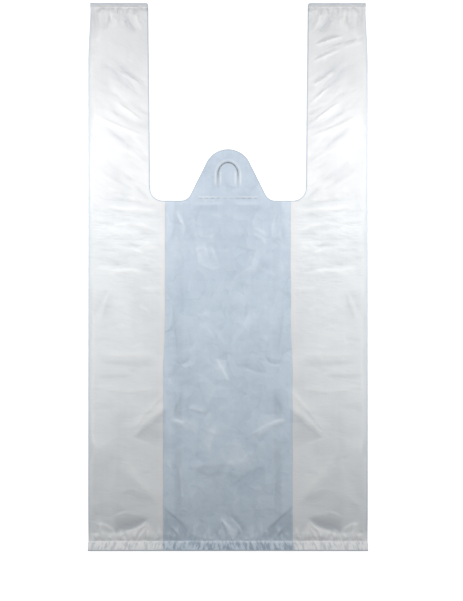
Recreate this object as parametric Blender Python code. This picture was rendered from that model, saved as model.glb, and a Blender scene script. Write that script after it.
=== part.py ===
"""A flat plastic carrier bag with two loop handles, side gussets and a hanging tab.

The bag lies on its back panel on the plane Z = 0. X runs across it, +Y runs towards the handles and
+Z is its thickness. It is one piece of blown film, and it is built in the order in which it is made:
a tube of film is gusseted, welded across both ends, and die cut to leave the handles and the tab.
All sizes are in metres.
"""

import math

import bmesh
import bpy

MM = 0.001

# Driving dimensions
BAG_WIDTH = 280 * MM
BAG_LENGTH = 548 * MM
GUSSET_DEPTH = 76 * MM
FILM_WALL = 0.2 * MM

# Air between the film's layers: beside the gussets, between them, and where a weld presses them
LAYER_GAP = 0.6 * MM
CENTRE_GAP = 1.1 * MM
WELDED_GAP = 0.15 * MM
SAG_WIDTH = 14 * MM
LOFT_LENGTH = 36 * MM

# Welds across the ends of the tube, each with a loose skirt beyond it
BOTTOM_SKIRT = 9 * MM
TOP_SKIRT = 3.8 * MM
WELD_WIDTH = 1.5 * MM
WELD_RISE = 0.3 * MM
SKIRT_COVER = 0.1 * MM
TUBE_IN_SKIRT = 2.5 * MM

# The handles draw in a little towards their top welds
HANDLE_DRAW_IN = 2 * MM
DRAW_IN_LENGTH = 60 * MM
HANDLE_CORNER_RADIUS = 2 * MM

# The die cut between the handles
HANDLE_LENGTH = 199 * MM
HANDLE_WIDTH_AT_TOP = 58 * MM
MOUTH_HALF_WIDTH = 78 * MM
MOUTH_CORNER_RADIUS = 13 * MM

# The hanging tab that the die leaves in the middle of the mouth
TAB_HEIGHT = 51.5 * MM
TAB_NOSE_RADIUS = 24 * MM
TAB_HALF_WIDTH_AT_ROOT = 40.5 * MM
TAB_ROOT_RADIUS = 11 * MM

# The arched slit that the tab hangs by, and the line of perforations that it tears off along
SLIT_ARCH_RADIUS = 10 * MM
SLIT_LEG_LENGTH = 14 * MM
SLIT_BELOW_NOSE = 13 * MM
SLIT_WIDTH = 0.8 * MM
TEAR_CUT_LENGTH = 4 * MM
TEAR_BRIDGE_LENGTH = 2.2 * MM
TEAR_CUT_WIDTH = 0.5 * MM
TEAR_CUT_COUNT = 10
TEAR_LINE_ABOVE_MOUTH = 4 * MM

# Gathers that the welds draw the front film into, and its slack swells further away
PLEAT_WIDTH = 15 * MM
PLEAT_HEIGHT = 1.2 * MM
PLEAT_LENGTH = 32 * MM
SWELL_HEIGHT = 0.8 * MM
SWELL_WIDTH = 96 * MM
SWELL_LENGTH = 150 * MM

# Creases that packing leaves in the front film, alike on both sides of the middle. Each has its two
# ends, as shares of the half width and the half length from the bag's centre, and then its height.
CREASE_WIDTH = 9 * MM
CREASES = (
    ((0.94, 0.57), (0.58, 0.51), 1.5 * MM),
    ((0.76, 0.75), (0.60, 0.69), 1.2 * MM),
    ((0.90, 0.27), (0.50, 0.25), 1.2 * MM),
    ((0.88, 0.01), (0.46, 0.04), 1.2 * MM),
    ((0.92, -0.31), (0.50, -0.32), 1.2 * MM),
    ((0.40, -0.43), (0.74, -0.56), 1.6 * MM),
    ((0.84, -0.64), (0.52, -0.82), 1.4 * MM),
    ((0.35, 0.23), (0.31, 0.14), 1.2 * MM),
    ((0.20, 0.05), (0.00, 0.03), 1.2 * MM),
    ((0.40, -0.30), (0.26, -0.31), 1.0 * MM),
    ((0.12, -0.29), (0.00, -0.39), 1.2 * MM),
    ((0.40, -0.52), (0.14, -0.50), 1.2 * MM),
    ((0.36, -0.84), (0.18, -0.93), 1.2 * MM),
)

# Fineness of the film's mesh
FRONT_COLUMN_WIDTH = 7.5 * MM
BACK_COLUMN_WIDTH = 25 * MM
GUSSET_COLUMN_WIDTH = 25 * MM
ROW_LENGTH = 13 * MM
FIRST_ROWS = (3 * MM, 8 * MM, 15 * MM, 25 * MM)
ARC_STEPS = 9
NOSE_STEPS = 15
CUTTER_REACH = 20 * MM

LAYER_PITCH = FILM_WALL + LAYER_GAP
CENTRE_PITCH = FILM_WALL + CENTRE_GAP
WELDED_PITCH = FILM_WALL + WELDED_GAP
HALF_WIDTH = BAG_WIDTH / 2
HALF_LENGTH = BAG_LENGTH / 2
CREASE_X = HALF_WIDTH - GUSSET_DEPTH
MOUTH_Y = HALF_LENGTH - HANDLE_LENGTH
TAB_NOSE_Y = MOUTH_Y + TAB_HEIGHT


def clear_scene():
    for old in list(bpy.data.objects):
        bpy.data.objects.remove(old)


def smooth_step(value, low, high):
    """0 below low, 1 above high, with an even ease between them."""
    share = min(1.0, max(0.0, (value - low) / (high - low)))
    return share * share * (3 - 2 * share)


def even_steps(low, high, step):
    """Evenly spaced values from low to high, both included, about step apart."""
    count = max(1, round((high - low) / step))
    return [low + (high - low) * i / count for i in range(count + 1)]


# Shape of the film tube
BOTTOM_END = -HALF_LENGTH + BOTTOM_SKIRT - TUBE_IN_SKIRT
TOP_END = HALF_LENGTH - TOP_SKIRT + TUBE_IN_SKIRT
BOTTOM_WELD_Y = -HALF_LENGTH + BOTTOM_SKIRT
TOP_WELD_Y = HALF_LENGTH - TOP_SKIRT
BOTTOM_LOOSE_Y = BOTTOM_WELD_Y + WELD_WIDTH
TOP_LOOSE_Y = TOP_WELD_Y - WELD_WIDTH
SKIRT_THICKNESS = 3 * WELDED_PITCH + FILM_WALL + 2 * SKIRT_COVER


def from_weld(y):
    """Distance along the bag from y to where the nearer weld lets go of the film."""
    return max(0.0, min(y - BOTTOM_LOOSE_Y, TOP_LOOSE_Y - y))


def looseness(y):
    """0 at the welds, where the layers are pressed together, and 1 where they lie loose."""
    return smooth_step(from_weld(y), 0.0, LOFT_LENGTH)


def half_width_at(y):
    """The handles' outer edges draw in towards the top weld."""
    return HALF_WIDTH - HANDLE_DRAW_IN * smooth_step(y, TOP_WELD_Y - DRAW_IN_LENGTH, TOP_WELD_Y)


def pleats(x, y):
    """Gathers of the front film, highest near a weld and gone a pleat's length away."""
    near_weld = smooth_step(from_weld(y), 0.0, FIRST_ROWS[1])
    fade = 1 - smooth_step(from_weld(y), FIRST_ROWS[1], PLEAT_LENGTH)
    wave = 0.5 + 0.5 * math.cos(2 * math.pi * x / PLEAT_WIDTH)
    return PLEAT_HEIGHT * near_weld * fade * wave


def swells(x, y):
    """Slack that lifts the front film in long, low swells."""
    across = 0.5 + 0.5 * math.cos(2 * math.pi * x / SWELL_WIDTH + 1.1 * math.sin(2 * math.pi * y / SWELL_LENGTH))
    along = 0.5 + 0.5 * math.sin(2 * math.pi * y / SWELL_LENGTH)
    return SWELL_HEIGHT * looseness(y) * across * along


def crease_share(x, y, start, end):
    """1 on the line from start to end, and 0 a crease's width from it and beyond."""
    run_x, run_y = end[0] - start[0], end[1] - start[1]
    share = ((x - start[0]) * run_x + (y - start[1]) * run_y) / (run_x ** 2 + run_y ** 2)
    share = min(1.0, max(0.0, share))
    distance = math.hypot(x - start[0] - share * run_x, y - start[1] - share * run_y)
    return 1 - smooth_step(distance, 0.0, CREASE_WIDTH)


def creases(x, y):
    """The height that the tallest crease here gives the front film."""
    height = 0.0
    for (start_u, start_v), (end_u, end_v), crease_height in CREASES:
        start = (start_u * HALF_WIDTH, start_v * HALF_LENGTH)
        end = (end_u * HALF_WIDTH, end_v * HALF_LENGTH)
        height = max(height, crease_height * crease_share(abs(x), y, start, end))
    return height * looseness(y)


def edge_hold(x):
    """0 at the folded outer edges, which hold the front film down, and 1 a pleat's width inside them."""
    return smooth_step(HALF_WIDTH - abs(x), 0.0, PLEAT_WIDTH)


def layer_height(layer, x, y):
    """Height of the middle of a layer: 0 is the back panel, 1 and 2 the gusset, 3 the front panel."""
    pressed = 1 - looseness(y)
    back = FILM_WALL / 2 + SKIRT_COVER * pressed
    pitch = LAYER_PITCH + (WELDED_PITCH - LAYER_PITCH) * pressed
    if layer < 3:
        return back + layer * pitch
    centre_pitch = CENTRE_PITCH + (WELDED_PITCH * 2 - CENTRE_PITCH) * pressed
    over_gusset = smooth_step(abs(x), CREASE_X - SAG_WIDTH, CREASE_X - FILM_WALL)
    base = back + centre_pitch + (3 * pitch - centre_pitch) * over_gusset
    return base + edge_hold(x) * (pleats(x, y) + swells(x, y) + creases(x, y))


def section():
    """The tube's section as (x, turn, layers): on one layer, or where the film turns between two.

    A turn of 1 bulges towards +X and one of -1 towards -X, by half of the layers' spacing there.
    """
    edge = HALF_WIDTH - FILM_WALL
    edge -= LAYER_PITCH / 2
    crease = CREASE_X + LAYER_PITCH / 2
    front = [(x, 0, (3, 3)) for x in even_steps(-edge, edge, FRONT_COLUMN_WIDTH)]
    back = [(x, 0, (0, 0)) for x in even_steps(-edge, edge, BACK_COLUMN_WIDTH)]
    across = even_steps(crease, edge, GUSSET_COLUMN_WIDTH)
    right = [(edge, 1, (2, 3))]
    right += [(x, 0, (2, 2)) for x in reversed(across)]
    right += [(crease, -1, (1, 2))]
    right += [(x, 0, (1, 1)) for x in across]
    right += [(edge, 1, (0, 1))]
    left = [(-x, -turn, layers) for x, turn, layers in reversed(right)]
    return front + right + list(reversed(back)) + left


def rows():
    """Where the section is repeated along the bag, closer together near the welds."""
    low, high = BOTTOM_LOOSE_Y, TOP_LOOSE_Y
    near_bottom = [low + step for step in FIRST_ROWS]
    near_top = [high - step for step in reversed(FIRST_ROWS)]
    middle = even_steps(near_bottom[-1], near_top[0], ROW_LENGTH)[1:-1]
    return [BOTTOM_END, low] + near_bottom + middle + near_top + [high, TOP_END]


def film_tube():
    """The gusseted tube as a sheet at the middle of the film, open at both ends."""
    mesh = bmesh.new()
    loops = []
    for y in rows():
        across = half_width_at(y) / HALF_WIDTH
        loop = []
        for x, turn, (lower, upper) in section():
            low, high = layer_height(lower, x, y), layer_height(upper, x, y)
            out = turn * (high - low) / 2
            loop.append(mesh.verts.new((x * across + out, y, (low + high) / 2)))
        loops.append(loop)
    for near, far in zip(loops, loops[1:]):
        for i in range(len(near)):
            j = (i + 1) % len(near)
            mesh.faces.new((near[i], near[j], far[j], far[i]))
    bmesh.ops.recalc_face_normals(mesh, faces=mesh.faces)
    return mesh


# Outlines, as lists of (x, y) points
def arc(centre, radius, start, end, steps=ARC_STEPS):
    """Points on an arc from start to end, both in degrees and both included."""
    points = []
    for i in range(steps + 1):
        angle = math.radians(start + (end - start) * i / steps)
        points.append((centre[0] + radius * math.cos(angle), centre[1] + radius * math.sin(angle)))
    return points


def mirrored(points):
    return [(-x, y) for x, y in reversed(points)]


def tab_side_angle():
    """How far the tab's sides lean from upright, in degrees, so that they touch the round nose."""
    rise = TAB_HEIGHT - TAB_NOSE_RADIUS
    reach = math.hypot(TAB_HALF_WIDTH_AT_ROOT, rise)
    return math.degrees(math.atan2(TAB_HALF_WIDTH_AT_ROOT, rise) - math.asin(TAB_NOSE_RADIUS / reach))


def mouth_outline():
    """What the die takes out between the handles: a round-cornered U with the tab standing in it."""
    lean = tab_side_angle()
    nose = arc((0, TAB_NOSE_Y - TAB_NOSE_RADIUS), TAB_NOSE_RADIUS, 180 - lean, lean, NOSE_STEPS)
    root_offset = TAB_ROOT_RADIUS * math.tan(math.radians(90 - lean) / 2)
    root_centre = (TAB_HALF_WIDTH_AT_ROOT + root_offset, MOUTH_Y + TAB_ROOT_RADIUS)
    root = arc(root_centre, TAB_ROOT_RADIUS, 180 + lean, 270)
    corner_centre = (MOUTH_HALF_WIDTH - MOUTH_CORNER_RADIUS, MOUTH_Y + MOUTH_CORNER_RADIUS)
    corner = arc(corner_centre, MOUTH_CORNER_RADIUS, 270, 360)
    handle_top_x = HALF_WIDTH - HANDLE_DRAW_IN - HANDLE_WIDTH_AT_TOP
    rounding_centre = (handle_top_x + HANDLE_CORNER_RADIUS, HALF_LENGTH - HANDLE_CORNER_RADIUS)
    rounding = arc(rounding_centre, HANDLE_CORNER_RADIUS, 180, 90, ARC_STEPS // 2)
    above = [(rounding_centre[0], HALF_LENGTH + CUTTER_REACH)]
    side = root + corner + rounding + above
    return nose + side + mirrored(side)


def slit_outline():
    """The slit's two sides: an arch with straight legs, one slit width apart."""
    spring_y = TAB_NOSE_Y - SLIT_BELOW_NOSE - SLIT_ARCH_RADIUS
    foot_y = spring_y - SLIT_LEG_LENGTH
    outer = SLIT_ARCH_RADIUS + SLIT_WIDTH / 2
    inner = SLIT_ARCH_RADIUS - SLIT_WIDTH / 2
    outside = [(outer, foot_y)] + arc((0, spring_y), outer, 0, 180) + [(-outer, foot_y)]
    inside = [(-inner, foot_y)] + arc((0, spring_y), inner, 180, 0) + [(inner, foot_y)]
    return outside + inside


def tear_cuts():
    """The perforations, as rectangles one bridge apart."""
    pitch = TEAR_CUT_LENGTH + TEAR_BRIDGE_LENGTH
    y = MOUTH_Y + TEAR_LINE_ABOVE_MOUTH
    for i in range(TEAR_CUT_COUNT):
        x = (i - (TEAR_CUT_COUNT - 1) / 2) * pitch
        left, right = x - TEAR_CUT_LENGTH / 2, x + TEAR_CUT_LENGTH / 2
        low, high = y - TEAR_CUT_WIDTH / 2, y + TEAR_CUT_WIDTH / 2
        yield [(left, low), (right, low), (right, high), (left, high)]


def skirt_outline(half_width, low, high, corner):
    """The strip of film beyond a weld, whose outer corners are rounded."""
    if corner == 0:
        return [(-half_width, low), (half_width, low), (half_width, high), (-half_width, high)]
    side = arc((half_width - corner, high - corner), corner, 0, 90, ARC_STEPS // 2)
    return [(-half_width, low), (half_width, low)] + side + mirrored(side)


# Solids from outlines
def add_prism(mesh, outline, low, high):
    """Adds the closed solid of an outline between two heights to a mesh."""
    face = mesh.faces.new([mesh.verts.new((x, y, low)) for x, y in outline])
    made = bmesh.ops.extrude_face_region(mesh, geom=[face])
    top = [part for part in made["geom"] if isinstance(part, bmesh.types.BMVert)]
    bmesh.ops.translate(mesh, verts=top, vec=(0, 0, high - low))


def to_object(name, mesh):
    bmesh.ops.recalc_face_normals(mesh, faces=mesh.faces)
    data = bpy.data.meshes.new(name)
    mesh.to_mesh(data)
    mesh.free()
    made = bpy.data.objects.new(name, data)
    bpy.context.scene.collection.objects.link(made)
    return made


def helper(name, prisms):
    """A solid that only shapes the bag, and isn't part of it."""
    mesh = bmesh.new()
    for outline, low, high in prisms:
        add_prism(mesh, outline, low, high)
    made = to_object(name, mesh)
    made.hide_render = True
    made.display_type = "WIRE"
    return made


def combine(target, operation, other):
    modifier = target.modifiers.new(other.name, "BOOLEAN")
    modifier.operation = operation
    modifier.solver = "EXACT"
    modifier.object = other


def end_weld(name, weld_y, end_y, half_width, corner):
    """A skirt of pressed layers, with the narrow raised weld across its inner edge."""
    inward = 1 if weld_y > end_y else -1
    low, high = sorted((weld_y, end_y))
    weld_low, weld_high = sorted((weld_y + inward * WELD_WIDTH / 2, weld_y - inward * WELD_WIDTH / 2))
    skirt = skirt_outline(half_width, low, high, corner)
    weld = skirt_outline(half_width - SKIRT_COVER, weld_low, weld_high, 0)
    made = helper(name, [(skirt, 0.0, SKIRT_THICKNESS)])
    bead = helper(name + "_bead", [(weld, SKIRT_COVER / 2, SKIRT_THICKNESS + WELD_RISE)])
    combine(made, "UNION", bead)
    return made


def film_material():
    material = bpy.data.materials.new("milky_film")
    material.use_nodes = True
    shader = material.node_tree.nodes["Principled BSDF"]
    shader.inputs["Base Color"].default_value = (0.76, 0.80, 0.84, 1.0)
    shader.inputs["Roughness"].default_value = 0.35
    shader.inputs["Metallic"].default_value = 0.0
    return material


def build():
    clear_scene()
    bag = to_object("carrier_bag", film_tube())
    wall = bag.modifiers.new("film_wall", "SOLIDIFY")
    wall.thickness = FILM_WALL
    wall.offset = 0.0
    wall.use_even_offset = True

    bottom = end_weld("bottom_weld", BOTTOM_WELD_Y, -HALF_LENGTH, HALF_WIDTH, 0)
    top_half_width = half_width_at(HALF_LENGTH)
    top = end_weld("handle_weld", TOP_WELD_Y, HALF_LENGTH, top_half_width, HANDLE_CORNER_RADIUS)
    combine(bag, "UNION", bottom)
    combine(bag, "UNION", top)

    mouth = helper("mouth_die", [(mouth_outline(), -CUTTER_REACH, CUTTER_REACH)])
    slit = helper("slit_die", [(slit_outline(), -CUTTER_REACH, CUTTER_REACH)])
    tear = helper("tear_die", [(cut, -CUTTER_REACH, CUTTER_REACH) for cut in tear_cuts()])
    for die in (mouth, slit, tear):
        combine(bag, "DIFFERENCE", die)

    bag.data.materials.append(film_material())
    bag.data.shade_smooth()
    bag.data.set_sharp_from_angle(angle=math.radians(35))


build()
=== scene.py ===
# %% [markdown]
# # A flat vest-style carrier bag
# The real bag starts as a blown tube of milky film. A machine tucks a gusset into each side, welds the
# tube across both ends, and stamps out the mouth, which leaves two handles and a hanging tab. This lesson
# makes the bag in that order. The film is one grid that is folded in code, because each layer then keeps
# its place above the last, which cloth simulated in so thin a stack doesn't do. A cutter then stamps the
# mouth through all the layers at once, as the die does. All sizes are in metres.

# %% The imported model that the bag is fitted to
import math

import bmesh
import bpy
import numpy as np
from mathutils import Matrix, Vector, bvhtree, geometry


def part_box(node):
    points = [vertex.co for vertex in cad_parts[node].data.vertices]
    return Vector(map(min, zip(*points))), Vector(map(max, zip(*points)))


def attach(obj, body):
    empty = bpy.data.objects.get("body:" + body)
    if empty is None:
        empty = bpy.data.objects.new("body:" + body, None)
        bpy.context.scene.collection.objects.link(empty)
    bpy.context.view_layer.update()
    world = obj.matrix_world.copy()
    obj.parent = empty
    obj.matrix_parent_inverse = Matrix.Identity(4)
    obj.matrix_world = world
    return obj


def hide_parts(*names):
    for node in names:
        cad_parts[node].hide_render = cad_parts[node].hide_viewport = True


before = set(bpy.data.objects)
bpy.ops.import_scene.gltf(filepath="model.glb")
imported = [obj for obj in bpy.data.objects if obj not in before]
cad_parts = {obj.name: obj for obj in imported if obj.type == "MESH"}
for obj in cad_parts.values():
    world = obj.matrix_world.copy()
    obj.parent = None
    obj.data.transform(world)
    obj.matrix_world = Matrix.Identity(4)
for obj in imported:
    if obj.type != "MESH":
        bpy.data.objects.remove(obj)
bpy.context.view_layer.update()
bag_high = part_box("carrier_bag")[1]
MM = 0.001
HALF_WIDTH = bag_high[0]
HALF_LENGTH = bag_high[1]
print("bag half width and length, mm:", round(HALF_WIDTH / MM, 1), round(HALF_LENGTH / MM, 1))

# %% [markdown]
# ## The camera and the light
# A film bag can't stand up, so it lies on its back and the camera looks straight down at it, from far
# enough away that its sides stay parallel. The light is brightest beside the mouth, at the outer edges, and
# fades towards both ends. So a pair of lamps hangs low over those edges, and a weak pair over the lower
# half. They would show as hot spots in the film's gloss, so they are hidden from reflections. Three long
# strips around the bag stand close enough to the camera's own direction for the creases to mirror them.

# %% The camera
CAMERA_HEIGHT = 2.0
VIEW_HEIGHT = 0.6025
VIEW_CENTRE = (0.0035, -0.0238)

camera = bpy.data.objects.new("camera", bpy.data.cameras.new("camera"))
camera.location = (*VIEW_CENTRE, CAMERA_HEIGHT)
camera.data.lens = camera.data.sensor_width * CAMERA_HEIGHT / VIEW_HEIGHT
bpy.context.scene.collection.objects.link(camera)
bpy.context.scene.camera = camera
bpy.context.scene.view_settings.view_transform = "Standard"
print("camera lens, mm:", round(camera.data.lens, 1))

# %% The lamps
MAIN_LAMP = (0.18, 0.12, 0.24)
MAIN_POWER = 0.38
LOW_LAMP = (0.20, -0.10, 0.20)
LOW_POWER = 0.08
LAMP_SIZE = (0.16, 0.10)
STRIP_SIZE = (0.9, 0.05)
STRIP_HEIGHT = 1.2
STRIP_AWAY = 0.62
STRIP_POWER = 1.8


def add_lamp(name, place, target, size, power, in_gloss):
    """A rectangular lamp that faces its target, never seen by the camera itself."""
    light = bpy.data.lights.new(name, "AREA")
    light.shape = "RECTANGLE"
    light.size, light.size_y = size
    light.energy = power
    lamp = bpy.data.objects.new(name, light)
    lamp.location = place
    aim = Vector(target) - Vector(place)
    lamp.rotation_euler = aim.to_track_quat("-Z", "Y").to_euler()
    lamp.visible_camera = False
    lamp.visible_glossy = in_gloss
    bpy.context.scene.collection.objects.link(lamp)


for (lamp_x, lamp_y, lamp_z), power in ((MAIN_LAMP, MAIN_POWER), (LOW_LAMP, LOW_POWER)):
    for beside in (-lamp_x, lamp_x):
        add_lamp("lamp", (beside, lamp_y, lamp_z), (beside, lamp_y, 0), LAMP_SIZE, power, False)
for strip_x, strip_y in ((-STRIP_AWAY, 0), (STRIP_AWAY, 0), (0, STRIP_AWAY)):
    add_lamp("strip", (strip_x, strip_y, STRIP_HEIGHT), (0, 0, 0), STRIP_SIZE, STRIP_POWER, True)

# %% [markdown]
# ## Writing shader maths as Python
# A finish is a tree of nodes. One small class holds the tree and adds any node with its settings and
# sockets, and another wraps a socket so that plain sums such as `1 - mask` add the Math nodes.

# %% A finish and its values
class Value:
    """A socket of a finish that Python's own operators work on."""

    def __init__(self, finish, socket):
        self.finish = finish
        self.socket = socket

    def math(self, operation, *others):
        inputs = dict(enumerate((self, *others)))
        return self.finish.node("ShaderNodeMath", {"operation": operation}, inputs)

    def __add__(self, other):
        return self.math("ADD", other)

    def __sub__(self, other):
        return self.math("SUBTRACT", other)

    def __rsub__(self, other):
        return self.math("MULTIPLY", -1.0) + other

    def __mul__(self, other):
        return self.math("MULTIPLY", other)

    def __abs__(self):
        return self.math("ABSOLUTE")

    __radd__ = __add__
    __rmul__ = __mul__

    def band(self, low, high):
        """0 below low and 1 above high, with an eased step between them."""
        sockets = {"Value": self, "From Min": low, "From Max": high}
        return self.finish.node("ShaderNodeMapRange", {"interpolation_type": "SMOOTHSTEP"}, sockets)

    def stripe(self, low, high, soft):
        """1 between low and high, with soft borders outside them."""
        return self.band(low - soft, low) * (1 - self.band(high, high + soft))


class Finish:
    """A node material, with its Principled shader at hand."""

    def __init__(self, name):
        self.material = bpy.data.materials.new(name)
        self.material.use_nodes = True
        self.tree = self.material.node_tree
        self.shader = self.tree.nodes["Principled BSDF"]
        self.surface = self.tree.nodes["Material Output"].inputs["Surface"]

    def plug(self, socket, value):
        if isinstance(value, Value):
            self.tree.links.new(value.socket, socket)
        else:
            socket.default_value = value

    def node(self, kind, settings=None, sockets=None, output=0):
        """Adds a node, sets it up, fills its sockets, and returns one of its outputs."""
        made = self.tree.nodes.new(kind)
        for name, value in (settings or {}).items():
            setattr(made, name, value)
        for name, value in (sockets or {}).items():
            self.plug(made.inputs[name], value)
        return Value(self, made.outputs[output])

    def mix(self, share, first, second):
        """A colour between two others."""
        sockets = {0: share, 6: first, 7: second}
        return self.node("ShaderNodeMix", {"data_type": "RGBA"}, sockets, 2)

    def mark(self, name):
        """A number kept on the points of the mesh."""
        return self.node("ShaderNodeAttribute", {"attribute_name": name}, output="Fac")


# %% [markdown]
# ## The floor and the surroundings
# The bag is shown on plain white. The camera sees the floor as nearly white light of its own plus a little
# of the light that falls on it, so the bag's soft shadow stays. The lamps see an ordinary pale floor.

# %% The floor
FLOOR_SIZE = 3.0
FLOOR_DROP = 0.3 * MM
FLOOR_GLOW = 0.9
WHITE = (1.0, 1.0, 1.0, 1.0)
SEEN_FLOOR = (0.4, 0.4, 0.4, 1.0)
PALE_FLOOR = (0.8, 0.8, 0.8, 1.0)


def add_floor():
    finish = Finish("white_floor")
    rays = finish.node("ShaderNodeLightPath", output="Is Camera Ray")
    for ray in ("Is Glossy Ray", "Is Transmission Ray"):
        rays = rays.math("MAXIMUM", finish.node("ShaderNodeLightPath", output=ray))
    glow = finish.node("ShaderNodeEmission", None, {"Color": WHITE, "Strength": FLOOR_GLOW})
    lit = finish.node("ShaderNodeBsdfDiffuse", None, {"Color": SEEN_FLOOR})
    seen = finish.node("ShaderNodeAddShader", None, {0: glow, 1: lit})
    plain = finish.node("ShaderNodeBsdfDiffuse", None, {"Color": PALE_FLOOR})
    finish.plug(finish.surface, finish.node("ShaderNodeMixShader", None, {0: rays, 1: plain, 2: seen}))
    mesh = bmesh.new()
    bmesh.ops.create_grid(mesh, x_segments=1, y_segments=1, size=FLOOR_SIZE)
    bmesh.ops.translate(mesh, verts=mesh.verts, vec=(0, 0, -FLOOR_DROP))
    floor = bpy.data.objects.new("floor", bpy.data.meshes.new("floor"))
    mesh.to_mesh(floor.data)
    mesh.free()
    floor.data.materials.append(finish.material)
    bpy.context.scene.collection.objects.link(floor)


add_floor()
print("floor, metres across:", 2 * FLOOR_SIZE)

# %% The surroundings
AMBIENT_STRENGTH = 0.16
AMBIENT_COLOUR = (0.93, 0.97, 1.0, 1.0)


def set_world():
    world = bpy.data.worlds.new("studio")
    world.use_nodes = True
    tree = world.node_tree
    soft = tree.nodes["Background"]
    soft.inputs["Color"].default_value = AMBIENT_COLOUR
    soft.inputs["Strength"].default_value = AMBIENT_STRENGTH
    white = tree.nodes.new("ShaderNodeBackground")
    white.inputs["Color"].default_value = WHITE
    rays = tree.nodes.new("ShaderNodeLightPath")
    seen = tree.nodes.new("ShaderNodeMixShader")
    tree.links.new(rays.outputs["Is Camera Ray"], seen.inputs[0])
    tree.links.new(soft.outputs[0], seen.inputs[1])
    tree.links.new(white.outputs[0], seen.inputs[2])
    tree.links.new(seen.outputs[0], tree.nodes["World Output"].inputs["Surface"])
    bpy.context.scene.world = world


set_world()
print("surroundings light the bag at", AMBIENT_STRENGTH)

# %% [markdown]
# ## Where the film's layers lie
# Beside the gusset creases there are four layers of film, and between them only two. They lie loose along
# the bag and are pressed together at the welds. Everything here works on whole arrays of places at once,
# so that the same few lines can shape tens of thousands of points.

# %% Sizes of the folded tube
FILM_WALL = 0.2 * MM
GUSSET_DEPTH = 76 * MM
CREASE_X = HALF_WIDTH - GUSSET_DEPTH
LAYER_PITCH = 0.7 * MM
CENTRE_PITCH = 1.1 * MM
WELDED_PITCH = 0.35 * MM
SAG_WIDTH = 9 * MM
LOFT_LENGTH = 30 * MM
SLACK = 0.9 * MM
LEAST_GAP = 0.25 * MM

BOTTOM_SKIRT = 9 * MM
TOP_SKIRT = 3.8 * MM
SKIRT_COVER = 0.1 * MM
TUBE_IN_SKIRT = 2.5 * MM
BOTTOM_WELD_Y = -HALF_LENGTH + BOTTOM_SKIRT
TOP_WELD_Y = HALF_LENGTH - TOP_SKIRT
SKIRT_THICKNESS = 3 * WELDED_PITCH + FILM_WALL + 2 * SKIRT_COVER

HANDLE_DRAW_IN = 2 * MM
DRAW_IN_LENGTH = 60 * MM
MOUTH_DEPTH = 197.8 * MM
MOUTH_Y = HALF_LENGTH - MOUTH_DEPTH


def ease(value, low, high):
    """0 below low and 1 above high, with an even ease between them."""
    share = np.clip((value - low) / (high - low), 0.0, 1.0)
    return share * share * (3 - 2 * share)


def from_weld(y):
    return np.maximum(0.0, np.minimum(y - BOTTOM_WELD_Y, TOP_WELD_Y - y))


def looseness(y):
    """0 at the welds, where the layers are pressed together, and 1 where they lie loose."""
    return ease(from_weld(y), 0.0, LOFT_LENGTH)


def half_width_at(y):
    """The handles' outer edges draw in towards the top weld."""
    return HALF_WIDTH - HANDLE_DRAW_IN * ease(y, TOP_WELD_Y - DRAW_IN_LENGTH, TOP_WELD_Y)


print("gusset creases at, mm:", round(CREASE_X / MM, 1))

# %% [markdown]
# ## The creases that packing left
# A bag is folded and pressed in its bundle, so its film keeps sharp lines that end in small points. Each
# is a ridge or a hollow along a few points, with a sharp crest and tapered ends. Many are steep on one
# side only, and spread into a flat facet on the other, which lies on the left along their points. They
# are given in millimetres from the bag's middle, and most of them show on both sides, because
# the layers were pressed as one stack while the bag was folded along its middle.

# %% One crease
def distance_to_line(x, y, points):
    """The distance from each place to a line, how far along it the nearest is, its length, and the side."""
    best = np.full(np.shape(x), np.inf)
    reached = np.zeros(np.shape(x))
    on_left = np.zeros(np.shape(x), dtype=bool)
    length = 0.0
    for (ax, ay), (bx, by) in zip(points, points[1:]):
        run = math.hypot(bx - ax, by - ay)
        share = np.clip(((x - ax) * (bx - ax) + (y - ay) * (by - ay)) / run ** 2, 0.0, 1.0)
        gap = np.hypot(x - ax - share * (bx - ax), y - ay - share * (by - ay))
        nearer = gap < best
        best = np.where(nearer, gap, best)
        reached = np.where(nearer, length + share * run, reached)
        left_here = (bx - ax) * (y - ay) > (by - ay) * (x - ax)
        on_left = np.where(nearer, left_here, on_left)
        length += run
    return best, reached, length, on_left


def crease(x, y, points, height, width, spread=0.0, taper=0.32):
    """A ridge, or a hollow if its height is negative, with all its sizes in millimetres."""
    line = np.array(points) * MM
    margin = max(width, spread) * MM
    low, high = line.min(axis=0) - margin, line.max(axis=0) + margin
    near = (x > low[0]) & (x < high[0]) & (y > low[1]) & (y < high[1])
    gap, reached, length, on_left = distance_to_line(x[near], y[near], line)
    reach = np.where(on_left, max(width, spread), width) * MM
    side = np.clip(1 - gap / reach, 0.0, 1.0)
    ends = ease(np.minimum(reached, length - reached) / length, -0.02, taper)
    surface = np.zeros(np.shape(x))
    surface[near] = height * MM * side ** 1.6 * ends
    return surface


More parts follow.
